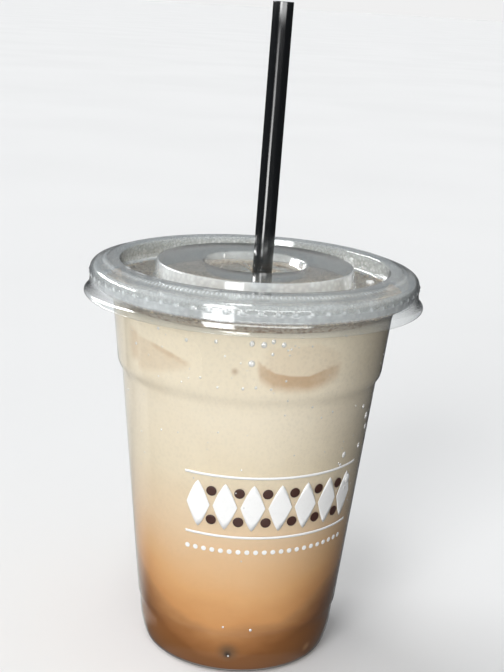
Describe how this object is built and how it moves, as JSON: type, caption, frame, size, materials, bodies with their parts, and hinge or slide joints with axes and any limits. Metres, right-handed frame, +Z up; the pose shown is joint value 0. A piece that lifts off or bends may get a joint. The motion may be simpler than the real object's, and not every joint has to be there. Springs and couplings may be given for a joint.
{
  "type": "iced coffee",
  "caption": "Iced milky coffee, darker at its foot, in a tapered clear cup with a flat clear lid, a froth layer and an upright black drinking straw.",
  "frame": {"origin": "centre of the cup's foot, on the surface it stands on", "axes": "+Z up along the cup's axis, -Y towards the viewer of the picture, +X to the right"},
  "size_m": [0.1024, 0.1024, 0.1984],
  "materials": {
    "cup": "clear thin plastic, glossy, misted by the cold drink",
    "lid": "clear thin plastic, glossy, misted below",
    "straw": "glossy black",
    "drink": "milky coffee, cream above and brown at the foot",
    "froth": "brown bubbles on the drink"
  },
  "bodies": {
    "root": {"cup": "cup", "lid": "lid", "straw": "straw", "drink": "drink", "froth": "froth"}
  },
  "joints": []
}
